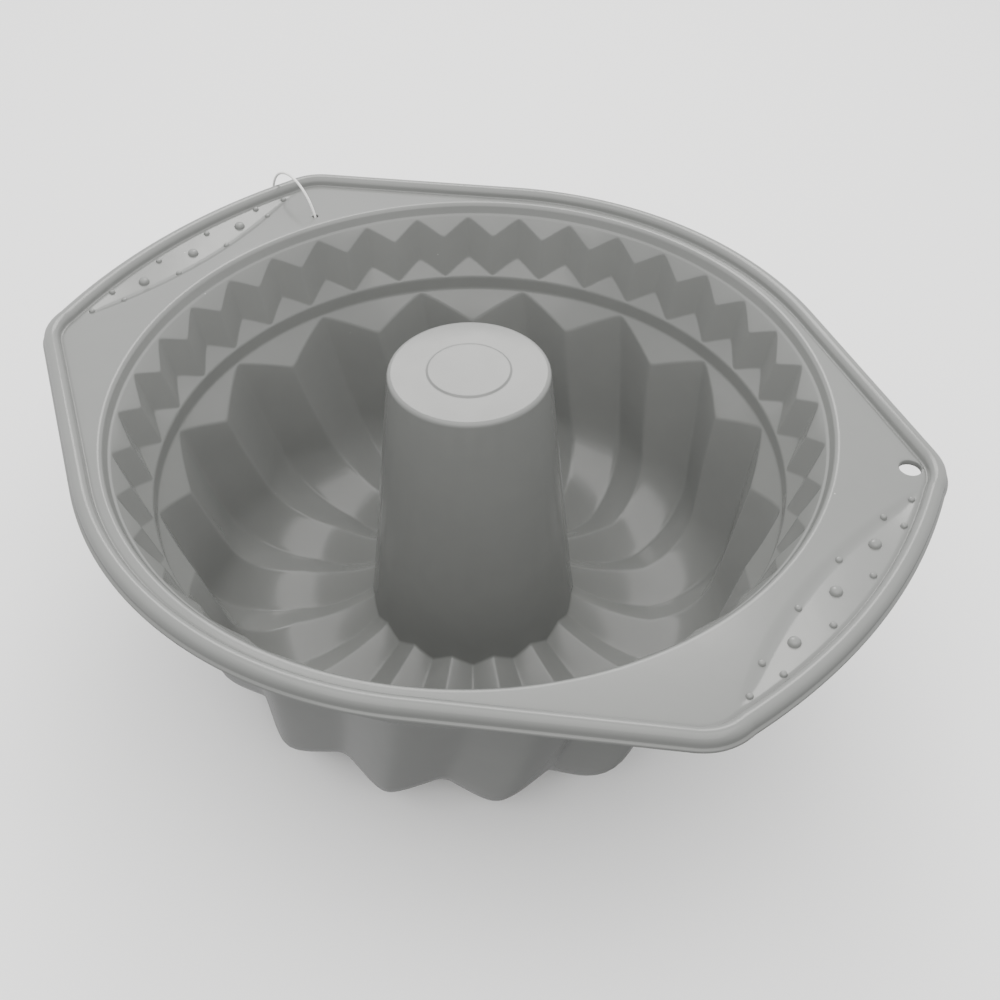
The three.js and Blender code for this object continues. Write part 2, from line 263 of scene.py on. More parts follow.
@dataclass(frozen=True)
class SiliconeFinish:
    """Semi-gloss grey silicone with faint flow marks, a fine moulded grain and a little dust.

    Scales count features in a metre and depths are in metres. The shares say how much of the clouds, the flow
    marks and the dust goes into the colour and into the roughness.
    """

    tone: Colour = (0.168, 0.172, 0.166, 1.0)
    shade: Colour = (0.152, 0.156, 0.151, 1.0)
    dust: Colour = (0.72, 0.72, 0.70, 1.0)
    gloss: float = 0.14
    index: float = 1.43
    coat: float = 0.08
    coat_gloss: float = 0.16
    cloud_scale: float = 22.0
    cloud_edges: Pair = (0.3, 0.7)
    flow_scale: float = 140.0
    flow_edges: Pair = (0.35, 0.65)
    colour_shares: Pair = (0.5, 0.15)
    gloss_shares: tuple[float, float, float] = (0.05, 0.03, 0.12)
    ripple_scale: float = 160.0
    ripple_depth: float = 0.00012
    ripple_strength: float = 0.2
    grain_scale: float = 2600.0
    grain_depth: float = 0.00003
    grain_strength: float = 0.15
    dust_scale: float = 150.0
    dust_edges: Pair = (0.016, 0.030)
    dust_choice: Pair = (0.93, 0.96)
    dust_cover: float = 0.7

    def material(self) -> bpy.types.Material:
        """Makes the material.

        Returns:
            The material with its nodes.
        """
        graph = Graph.finish("silicone_grey")
        place = graph.place()
        cloud = graph.noise(place, self.cloud_scale, detail=4.0).smooth(*self.cloud_edges)
        flow = graph.noise(place, self.flow_scale).smooth(*self.flow_edges)
        speck = self._specks(graph, place)
        by_cloud, by_flow = self.colour_shares
        base = graph.blend(cloud * by_cloud + flow * by_flow, self.tone, self.shade)
        graph.feed(Base_Color=graph.blend(speck, base, self.dust))
        by_cloud, by_flow, by_dust = self.gloss_shares
        graph.feed(Roughness=self.gloss + cloud * by_cloud + flow * by_flow + speck * by_dust)
        ripple = graph.noise(place, self.ripple_scale, detail=2.0)
        ripple_normal = graph.bump(ripple, self.ripple_depth, self.ripple_strength)
        grain = graph.noise(place, self.grain_scale, detail=2.0)
        graph.feed(Normal=graph.bump(grain, self.grain_depth, self.grain_strength, ripple_normal))
        graph.feed(IOR=self.index, Coat_Weight=self.coat, Coat_Roughness=self.coat_gloss)
        return graph.owner

    def _specks(self, graph: Graph, place: Link) -> Link:
        """Sparse dust specks: small discs in a few cells of a Voronoi pattern.

        Args:
            graph: the material's graph.
            place: coordinates.

        Returns:
            Mask, 1 on a speck.
        """
        cells = {"Vector": place, "Scale": self.dust_scale}
        near = graph.node("ShaderNodeTexVoronoi", {}, cells, "Distance")
        colour = graph.node("ShaderNodeTexVoronoi", {}, cells, "Color")
        pick = graph.node("ShaderNodeSeparateColor", {}, {0: colour}, 0)
        disc = 1 - near.smooth(*self.dust_edges)
        return disc * pick.smooth(*self.dust_choice) * self.dust_cover


@dataclass(frozen=True)
class NylonFinish:
    """Milky white nylon with a faint drawn grain; depths are in metres, the scale in streaks a metre."""

    tone: Colour = (0.83, 0.83, 0.81, 1.0)
    shade: Colour = (0.70, 0.70, 0.68, 1.0)
    gloss: float = 0.24
    gloss_spread: float = 0.14
    index: float = 1.53
    streak_scale: float = 900.0
    streak_edges: Pair = (0.35, 0.7)
    streak_depth: float = 0.00004
    streak_strength: float = 0.4
    milk: float = 0.15
    milk_depth: float = 0.001

    def material(self) -> bpy.types.Material:
        """Makes the material.

        Returns:
            The material with its nodes.
        """
        graph = Graph.finish("nylon_white")
        place = graph.place()
        streak = graph.noise(place, self.streak_scale)
        graph.feed(Base_Color=graph.blend(streak.smooth(*self.streak_edges), self.tone, self.shade))
        graph.feed(Roughness=self.gloss + streak * self.gloss_spread, IOR=self.index)
        graph.feed(Normal=graph.bump(streak, self.streak_depth, self.streak_strength))
        graph.feed(Subsurface_Weight=self.milk, Subsurface_Radius=(self.milk_depth,) * 3)
        return graph.owner


@dataclass(frozen=True)
class FloorFinish:
    """Pale matt studio floor; the scale counts features in a metre."""

    tone: Colour = (0.92, 0.92, 0.92, 1.0)
    shade: Colour = (0.89, 0.89, 0.89, 1.0)
    gloss: float = 0.85
    shine: float = 0.1
    cloud_scale: float = 2.0

    def material(self) -> bpy.types.Material:
        """Makes the material.

        Returns:
            The material with its nodes.
        """
        graph = Graph.finish("pale_floor")
        cloud = graph.noise(graph.place(), self.cloud_scale)
        graph.feed(Base_Color=graph.blend(cloud, self.tone, self.shade))
        graph.feed(Roughness=self.gloss, Specular_IOR_Level=self.shine)
        return graph.owner


@dataclass
class Skin:
    """Collects grid patches and turns them into one mesh object."""

    points: list[np.ndarray] = field(default_factory=list)
    quads: list[np.ndarray] = field(default_factory=list)
    triangles: list[np.ndarray] = field(default_factory=list)
    count: int = 0

    def add(self, points: np.ndarray) -> int:
        """Adds points.

        Args:
            points: array whose last axis is x, y, z in millimetres.

        Returns:
            Index of the first one.
        """
        flat = points.reshape(-1, 3)
        start = self.count
        self.points.append(flat)
        self.count += len(flat)
        return start

    def grid(
        self, points: np.ndarray, flip: bool = False, ring: bool = False, keep: np.ndarray | None = None
    ) -> int:
        """Adds a grid that closes on itself along its columns.

        Args:
            points: rows by columns by 3.
            flip: turn the faces over.
            ring: close the rows on themselves too.
            keep: rows by columns mask of the cells to make.

        Returns:
            Index of the first point.
        """
        rows, columns = points.shape[:2]
        start = self.add(points)
        last = rows if ring else rows - 1
        row, column = np.meshgrid(np.arange(last), np.arange(columns), indexing="ij")
        down, right = (row + 1) % rows, (column + 1) % columns
        corners = ((row, column), (row, right), (down, right), (down, column))
        cells = np.stack([line * columns + place for line, place in corners], -1)
        chosen = cells.reshape(-1, 4) if keep is None else cells[keep[:last]]
        self.quads.append(start + (chosen[:, ::-1] if flip else chosen))
        return start

    def bridge(self, first: np.ndarray, second: np.ndarray) -> None:
        """Joins two closed loops of the same number of points.

        Args:
            first: point indices of one loop.
            second: point indices of the other.
        """
        self.quads.append(np.stack([first, np.roll(first, -1), np.roll(second, -1), second], -1))

    def fan(self, loop: np.ndarray, tip: Sequence[float], flip: bool = False) -> None:
        """Closes a loop with triangles to one point.

        Args:
            loop: point indices of the loop.
            tip: place of the point.
            flip: turn the faces over.
        """
        centre = self.add(np.array([tip], float))
        faces = np.stack([loop, np.roll(loop, -1), np.full_like(loop, centre)], -1)
        self.triangles.append(faces[:, ::-1] if flip else faces)

    def closed(self, points: np.ndarray, first: Sequence[float], last: Sequence[float]) -> None:
        """Adds a grid whose first and last rows each close to a point.

        Args:
            points: rows by columns by 3.
            first: place where the first row closes.
            last: place where the last row closes.
        """
        rows, columns = points.shape[:2]
        start = self.grid(points)
        loop = np.arange(columns)
        self.fan(start + (rows - 1) * columns + loop, last)
        self.fan(start + loop, first, True)

    def build(self, name: str, lift: float = 0.0, recalculate: bool = False) -> bpy.types.Object:
        """Makes the mesh object, in metres.

        Args:
            name: name of the piece.
            lift: height added to all points, in millimetres.
            recalculate: point the faces of a closed mesh outwards.

        Returns:
            The object, at the origin.
        """
        points = (np.concatenate(self.points) + [0.0, 0.0, lift]) * MM
        faces = [quad for part in self.quads for quad in part.tolist()]
        faces += [face for part in self.triangles for face in part.tolist()]
        mesh = bpy.data.meshes.new(name)
        mesh.from_pydata(points.tolist(), [], faces)
        if recalculate:
            work = bmesh.new()
            work.from_mesh(mesh)
            bmesh.ops.recalc_face_normals(work, faces=work.faces)
            work.to_mesh(mesh)
            work.free()
        mesh.polygons.foreach_set("use_smooth", np.ones(len(mesh.polygons), bool))
        mesh.update()
        piece = bpy.data.objects.new(name, mesh)
        bpy.context.scene.collection.objects.link(piece)
        return piece


def dress(piece: bpy.types.Object, material: bpy.types.Material, body: Body, slot: Slot) -> None:
    """Gives a piece its material and body.

    Args:
        piece: the object.
        material: its finish.
        body: what it moves with.
        slot: not used.
    """
    piece.data.materials.append(material)
    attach(piece, body.value)
    LOG.info("%s: %d faces on %s", piece.name, len(piece.data.polygons), body.value)


def stack(*parts: Any) -> np.ndarray:
    """Broadcasts arrays and stacks them on a new last axis."""
    return np.stack(np.broadcast_arrays(*parts), -1)


def step(value: np.ndarray, low: float, high: float) -> np.ndarray:
    """Smooth step: 0 below low, 1 above high, and 3t^2 - 2t^3 between."""
    t = np.clip((value - low) / (high - low), 0.0, 1.0)
    return t * t * (3.0 - 2.0 * t)


def mix(first: Any, second: Any, share: Any) -> Any:
    """Value between two numbers, arrays or links: first + (second - first) share."""
    return first + (second - first) * share


def unit(vectors: np.ndarray) -> np.ndarray:
    """Vectors of length 1 in the same directions."""
    return vectors / np.linalg.norm(vectors, axis=-1, keepdims=True)


def full_turn(count: int) -> np.ndarray:
    """Evenly spaced angles round a full turn."""
    return np.linspace(0, 2 * np.pi, count + 1)[:-1]


def fillet(control: np.ndarray, reach: Sequence[float], steps: int = 4) -> np.ndarray:
    """Rounds the corners of a section with quadratic curves.

    Each corner v with a reach is replaced by (1-t)^2 a + 2t(1-t) v + t^2 b, where a and b lie on its two
    sides, at the reach or at the largest share of a side that a round may take.

    Args:
        control: corners by columns by (radius, height, angle).
        reach: length taken off each side of a corner; 0 keeps it sharp.
        steps: rows for each rounded corner.

    Returns:
        Rows by columns by (radius, height, angle).
    """
    rows: list[np.ndarray] = []
    t = np.linspace(0.0, 1.0, steps)[:, None, None]
    for j, corner in enumerate(control):
        if reach[j] <= 0 or j in (0, len(control) - 1):
            rows.append(corner[None])
            continue
        sides = [control[j - 1] - corner, control[j + 1] - corner]
        lengths = [np.hypot(side[:, 0], side[:, 1])[:, None] for side in sides]
        a, b = [corner + s * np.minimum(reach[j] / n, ROUND_SHARE) for s, n in zip(sides, lengths)]
        rows.append((1 - t) ** 2 * a + 2 * t * (1 - t) * corner + t**2 * b)
    return np.concatenate(rows)


def offset(control: np.ndarray, distance: float) -> np.ndarray:
    """Moves a section outwards by a distance, with mitred corners.

    Each corner moves by d (n + m) / (1 + n . m), where n and m are the normals of its two sides.

    Args:
        control: corners by columns by (radius, height, angle).
        distance: how far.

    Returns:
        The moved section.
    """
    run = unit(np.diff(control[..., :2], axis=0))
    normal = np.stack([-run[..., 1], run[..., 0]], -1)
    before = np.concatenate([normal[:1], normal])
    after = np.concatenate([normal, normal[-1:]])
    scale = distance / (1.0 + (before * after).sum(-1, keepdims=True))
    moved = control.copy()
    moved[..., :2] += (before + after) * scale
    return moved


def turn(section: np.ndarray) -> np.ndarray:
    """Cylinder coordinates (radius, height, angle) to x, y, z."""
    radius, height, angle = np.moveaxis(section, -1, 0)
    return stack(radius * np.cos(angle), radius * np.sin(angle), height)


@dataclass(frozen=True)
class Fold:
    """A zigzag round the bowl, from its outer folds (0) to its inner folds (1)."""

    count: int
    columns: int
    sharpness: float
    crowd: float = 0.8

    def angles(self) -> np.ndarray:
        """Column angles, crowded at the folds: u - crowd sin(4 pi u) / (4 pi) within each pitch.

        Returns:
            Angles over the full turn.
        """
        u = np.arange(self.columns) / self.columns
        u = u - self.crowd * np.sin(4 * np.pi * u) / (4 * np.pi)
        pitch = np.arange(self.count)[:, None]
        return ((pitch + u) / self.count * 2 * np.pi).ravel()

    def share(self) -> np.ndarray:
        """Triangle wave with slightly rounded tips: 1/2 - asin(k cos a) / (2 asin k).

        Returns:
            0 to 1 for each column.
        """
        wave = np.arcsin(self.sharpness * np.cos(self.angles() * self.count))
        return 0.5 - wave / (2 * math.asin(self.sharpness))


@dataclass(frozen=True)
class Rounds:
    """Reach of the rounds at the corners of the bowl's section, in millimetres."""

    mouth: float = 0.5
    mouth_wall: float = 0.4
    ledge: float = 0.3
    pleat_top: float = 0.55
    pleat_foot: float = 0.7
    band: float = 0.7
    flute: float = 0.9
    core_foot: float = 0.7
    pad: float = 0.18


@dataclass
class Moulding:
    """Sizes of the silicone moulding in millimetres; heights count from the flange top.

    A corner of the section is (radius, height), and a folded one has its outer fold first. The seam's rows
    run from inside the flange up to its top, as (distance beyond the mouth, height). The pad's edge lists
    distances from its radius, two at its foot and two on top. Row counts take in the first row.
    """

    rim_height: float = 98.5
    wall: float = 2.0
    mouth_r: float = 110.0
    seam: tuple[Pair, ...] = ((2.0, -0.05), (1.7, -0.012), (1.3, -0.003), (1.0, 0.0))
    mouth_wall: Pair = (109.1, -0.8)
    mouth_step: Pair = (108.05, -3.4)
    ledge_start: Pair = (107.35, -3.75)
    pleat_top: tuple[Pair, Pair] = ((106.9, -4.3), (103.0, -9.5))
    pleat_foot: tuple[Pair, Pair] = ((103.2, -18.9), (99.1, -23.9))
    band_top: Pair = (98.6, -24.5)
    band_foot: Pair = (98.2, -29.2)
    flute_top: tuple[Pair, Pair] = ((97.6, -30.0), (90.8, -38.7))
    trough_r: float = 62.2
    trough_z: float = -69.0
    trough_round: Pair = (28.0, 21.5)
    wall_share: float = 0.53
    swirl_start: float = 0.48
    core_base: Pair = (34.7, -85.6)
    core_scallop: float = 3.0
    core_top_r: float = 24.7
    core_rise: float = 10.6
    core_edge: float = 1.5
    pad_r: float = 12.8
    pad_rise: float = 0.5
    pad_edge: tuple[float, float, float, float] = (0.9, 0.05, -0.5, -1.4)
    pad_hub: float = 1.0
    pleats: Fold = Fold(36, 16, 0.972)
    flutes: Fold = Fold(16, 36, 0.988)
    rounds: Rounds = Rounds()
    outside_sharpness: float = 0.86
    outside_round: float = 0.8
    outside_steps: int = 3
    wall_rows: int = 7
    bend_rows: int = 13
    floor_rows: int = 7
    cone_shares: tuple[float, ...] = (0.08, 0.3, 0.65)
    edge_rows: int = 9


@dataclass
class Bowl:
    """Bowl, pleated band, flutes and hollow core as one closed skin."""

    form: Moulding

    def build(self, material: bpy.types.Material) -> bpy.types.Object:
        """Builds and dresses the skin.

        Args:
            material: the silicone.

        Returns:
            The piece.
        """
        form = self.form
        inside, reach = self._control(form.pleats, form.flutes)
        blunt = [replace(fold, sharpness=form.outside_sharpness) for fold in (form.pleats, form.flutes)]
        outside, _ = self._control(*blunt)
        outside_reach = [form.outside_round * r for r in reach]
        inner = turn(fillet(inside, reach))
        outer = turn(fillet(offset(outside, form.wall), outside_reach, form.outside_steps))
        outer[..., 2] = np.maximum(outer[..., 2], -form.rim_height)
        skin = Skin()
        columns = inner.shape[1]
        first = skin.grid(inner, flip=True)
        second = skin.grid(outer)
        loop = np.arange(columns)
        skin.bridge(first + loop, second + loop)
        top = form.core_rise + form.pad_rise
        skin.fan(first + (len(inner) - 1) * columns + loop, (0, 0, top))
        skin.fan(second + (len(outer) - 1) * columns + loop, (0, 0, top - form.wall), True)
        piece = skin.build("bowl_and_core", form.rim_height, True)
        dress(piece, material, Body.MOULD, Slot.SILICONE)
        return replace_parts(piece, "mould")

    def _control(self, upper: Fold, lower: Fold) -> tuple[np.ndarray, list[float]]:
        """Section corners for every column, and the reach of each corner's round.

        Args:
            upper: the pleats.
            lower: the flutes.

        Returns:
            Corners by columns by (radius, height, angle), and one reach for each corner.
        """
        form = self.form
        quarter = lower.columns // 4
        phase = 2 * np.pi / lower.count / 4
        pleat_angle, pleat = upper.angles(), upper.share()
        flute_angle = np.roll(lower.angles(), quarter)
        flute_angle[:quarter] -= 2 * np.pi
        flute_angle += phase
        flute = np.roll(lower.share(), quarter)
        rounds = form.rounds
        rows: list[Row] = [(form.mouth_r + apart, height, pleat_angle, 0.0) for apart, height in form.seam]
        rows += [
            (form.mouth_r, 0.0, pleat_angle, rounds.mouth),
            (*form.mouth_wall, pleat_angle, rounds.mouth_wall),
            (*form.mouth_step, pleat_angle, rounds.ledge),
            (*form.ledge_start, pleat_angle, rounds.ledge),
            (*self._mix(form.pleat_top, pleat), pleat_angle, rounds.pleat_top),
            (*self._mix(form.pleat_foot, pleat), pleat_angle, rounds.pleat_foot),
            (*form.band_top, pleat_angle, rounds.band),
            (*form.band_foot, flute_angle, rounds.band),
            (*self._mix(form.flute_top, flute), flute_angle, rounds.flute),
        ]
        rows += self._groove(flute, flute_angle)
        rows += self._core(flute, flute_angle - 2 * phase)
        control = np.stack([stack(radius, height, angle) for radius, height, angle, _ in rows])
        return control, [row[-1] for row in rows]

    def _mix(self, ends: tuple[Pair, Pair], share: np.ndarray) -> tuple[np.ndarray, np.ndarray]:
        """Point between an outer and an inner fold.

        Args:
            ends: radius and height at the outer fold, then at the inner one.
            share: 0 to 1 for each column.

        Returns:
            Radius and height arrays.
        """
        (r0, z0), (r1, z1) = ends
        return mix(r0, r1, share), mix(z0, z1, share)

    def _groove(self, flute: np.ndarray, angle: np.ndarray) -> list[Row]:
        """Wall, round and rising floor along the flutes, turning by half a pitch on the way down.

        The straight wall meets the round as its tangent: seen from the round's centre, the touching point
        lies acos(radius / distance of the wall's top) away from the direction of that top. From the low point
        the floor then runs to the core's foot as t^2.

        Args:
            flute: 0 along a groove, 1 along a ridge.
            angle: column angles at the top.

        Returns:
            Section rows.
        """
        form = self.form
        swirl = -np.pi / form.flutes.count
        top_r, top_z = self._mix(form.flute_top, flute)
        radius = mix(*form.trough_round, flute)
        away_r, away_z = top_r - form.trough_r, top_z - form.trough_z
        touch = np.arccos(radius / np.hypot(away_r, away_z)) - np.arctan2(away_z, away_r)
        start_r, start_z = form.trough_r + radius * np.cos(touch), form.trough_z - radius * np.sin(touch)
        rows: list[Row] = []
        for t in np.linspace(0, 1, form.wall_rows)[1:]:
            place = (mix(top_r, start_r, t), mix(top_z, start_z, t))
            rows.append((*place, angle + swirl * self._twist(form.wall_share * t), 0.0))
        for t in np.linspace(0, 1, form.bend_rows)[1:]:
            bend = mix(touch, np.pi / 2, t)
            place = (form.trough_r + radius * np.cos(bend), form.trough_z - radius * np.sin(bend))
            along = mix(form.wall_share, 1, t)
            rows.append((*place, angle + swirl * self._twist(along), 0.0))
        low = form.trough_z - radius
        foot_r, foot_z = self._foot(flute)
        for t in np.linspace(0, 1, form.floor_rows)[1:]:
            place = (mix(form.trough_r, foot_r, t), low + (foot_z - low) * t * t)
            rows.append((*place, angle + swirl, form.rounds.core_foot if t == 1 else 0.0))
        return rows

    def _twist(self, along: float) -> float:
        """Share of the swirl at a share s of the way down: k s + (1 - k) s^2."""
        start = self.form.swirl_start
        return along * (start + (1 - start) * along)

    def _foot(self, flute: np.ndarray) -> tuple[np.ndarray, np.ndarray]:
        """Foot of the core, lifted where a ridge meets it.

        Args:
            flute: 0 along a groove, 1 along a ridge.

        Returns:
            Radius and height arrays.
        """
        form = self.form
        slope = (form.core_base[0] - form.core_top_r) / (form.core_rise - form.core_base[1])
        lift = form.core_scallop * flute
        return form.core_base[0] - slope * lift, form.core_base[1] + lift

    def _core(self, flute: np.ndarray, angle: np.ndarray) -> list[Row]:
        """Cone, rounded top edge, flat and low round pad.

        Args:
            flute: 0 along a groove, 1 along a ridge.
            angle: column angles on the core.

        Returns:
            Section rows.
        """
        form = self.form
        centre_r, centre_z = form.core_top_r - form.core_edge, form.core_rise - form.core_edge
        foot_r, foot_z = self._foot(flute)
        rows: list[Row] = []
        for t in form.cone_shares:
            place = (mix(foot_r, form.core_top_r, t), mix(foot_z, centre_z, t))
            rows.append((*place, angle, 0.0))
        for bend in np.linspace(0, np.pi / 2, form.edge_rows):
            place = (centre_r + form.core_edge * np.cos(bend), centre_z + form.core_edge * np.sin(bend))
            rows.append((*place, angle, 0.0))
        flat, raised, reach = form.core_rise, form.core_rise + form.pad_rise, form.rounds.pad
        edge = [form.pad_r + apart for apart in form.pad_edge]
        rows += [
            (edge[0], flat, angle, 0.0),
            (edge[1], flat, angle, reach),
            (edge[2], raised, angle, reach),
            (edge[3], raised, angle, 0.0),
            (form.pad_hub, raised, angle, 0.0),
        ]
        return rows


@dataclass
class Outline:
    """Plan outline of the flange: a circle with two tangent ears, in millimetres.

    The points' spacing changes from the rim's to the ears' between the two places along x in ear_from.
    """

    flange_r: float = 119.09
    reach: float = 138.19
    corner: Pair = (129.5, 60.5)
    corner_round: float = 9.0
    ear_spacing: float = 0.55
    rim_spacing: float = 1.7
    ear_from: Pair = (76.0, 90.0)
    line_points: int = 200
    curve_points: int = 400
    arc_points: int = 900

    def points(self) -> np.ndarray:
        """Points round the outline, close together on the ears.

        Returns:
            Columns by (x, y), anticlockwise.
        """
        half = self._half()
        closed = np.concatenate([half, -half, half[:1]])
        run = np.linalg.norm(np.diff(closed, axis=0), axis=1)
        along = np.concatenate([[0.0], np.cumsum(run)])
        ear = step(np.abs(closed[:, 0]), *self.ear_from)
        density = 1.0 / mix(self.rim_spacing, self.ear_spacing, ear)
        load = np.concatenate([[0.0], np.cumsum(0.5 * (density[1:] + density[:-1]) * run)])
        place = np.interp(np.linspace(0, load[-1], int(load[-1]) + 1)[:-1], load, along)
        return np.stack([np.interp(place, along, closed[:, k]) for k in (0, 1)], -1)

    def _half(self) -> np.ndarray:
        """One ear from its lower corner to its upper one, and the arc after it.

        Returns:
            Dense points by (x, y).
        """
        corner = np.array(self.corner)
        touch = math.atan2(corner[1], corner[0]) + math.acos(self.flange_r / np.hypot(*corner))
        contact = self.flange_r * np.array([math.cos(touch), math.sin(touch)])
        tip = np.array([self.reach, 0.0])
        side_end = self._toward(corner, contact)
        edge_start = self._toward(corner, tip)
        down = np.array([1.0, -1.0])
        control = np.array([2 * self.reach - edge_start[0], 0.0])
        arc = np.linspace(touch, np.pi - touch, self.arc_points)
        return np.concatenate(
            [
                self._line(contact * down, side_end * down),
                self._curve(side_end * down, corner * down, edge_start * down),
                self._curve(edge_start * down, control, edge_start),
                self._curve(edge_start, corner, side_end),
                self._line(side_end, contact),
                self.flange_r * np.stack([np.cos(arc), np.sin(arc)], -1)[:-1],
            ]
        )

    def _toward(self, start: np.ndarray, end: np.ndarray) -> np.ndarray:
        """Point on the way from a corner, as far as the corner's round reaches."""
        way = end - start
        return start + way / np.linalg.norm(way) * self.corner_round

    def _line(self, start: np.ndarray, end: np.ndarray) -> np.ndarray:
        """Points on a straight side, without its end."""
        return mix(start, end, np.linspace(0, 1, self.line_points)[:-1, None])

    def _curve(self, start: np.ndarray, control: np.ndarray, end: np.ndarray) -> np.ndarray:
        """Points on a quadratic curve, without its end."""
        t = np.linspace(0, 1, self.curve_points)[:-1, None]
        return (1 - t) ** 2 * start + 2 * t * (1 - t) * control + t**2 * end


@dataclass
class Grip:
    """Lens-shaped recess of an ear and its row of bumps, in millimetres.

    The row has a group of bumps at each pitch. The spreads, from the middle group outwards, are 0 for one
    bump and otherwise half the distance between two; a bump's size is (radius, height).
    """

    depth: float = 1.2
    end: Pair = (123.65, 49.0)
    inner_x: float = 115.7
    outer_x: float = 131.6
    soft: float = 4.0
    row_x: float = 124.3
    pitch: float = 10.9
    spread: tuple[float, ...] = (0.0, 5.0, 0.0, 3.05, 0.0)
    big: Pair = (1.75, 1.4)
    small: Pair = (1.0, 0.9)
    dome_power: float = 0.65
    flare: float = 0.05
    root: float = 0.6
    dome_rows: int = 10
    dome_columns: int = 28

    def sink(self, x: np.ndarray, y: np.ndarray) -> np.ndarray:
        """Depth of the recess, a lens between two parabolas.

        It steps down over the soft width at the inner one and then rises evenly to the outer one.

        Args:
            x: places along the ears' axis.
            y: places across it.

        Returns:
            Depth at each place.
        """
        s2 = (y / self.end[1]) ** 2
        outer = mix(self.outer_x, self.end[0], s2)
        inner = mix(self.inner_x, self.end[0], s2)
        rise = np.clip((outer - np.abs(x)) / np.maximum(outer - inner, LEAST_GAP), 0.0, 1.0)
        return self.depth * step(np.abs(x) - inner, 0.0, self.soft) * rise

    def bumps(self) -> np.ndarray:
        """Places and sizes of the bumps on both ears.

        Returns:
            Bumps by (x, y, radius, height).
        """
        rows: list[tuple[float, float, float, float]] = []
        last = len(self.spread) - 1
        for side in (1.0, -1.0):
            for group in range(-last, last + 1):
                spread = self.spread[abs(group)]
                size = self.big if spread == 0 and abs(group) < last else self.small
                shifts = (0.0,) if spread == 0 else (-spread, spread)
                rows += [((self.row_x + dx) * side, group * self.pitch, *size) for dx in shifts]
        return np.array(rows)


@dataclass(frozen=True)
class Hole:
    """Round hole through the flange, in millimetres."""

    x: float
    y: float
    radius: float
    rounding: float = 0.35

    def middle(self) -> np.ndarray:
        """Place of its axis in plan."""
        return np.array([self.x, self.y])


@dataclass(frozen=True)
class Holes:
    """The hole to hang the mould by and the one that the tag's thread goes through."""

    hang: Hole = Hole(118.2, 55.4, 3.2)
    thread: Hole = Hole(-107.5, 43.0, 1.1, 0.15)


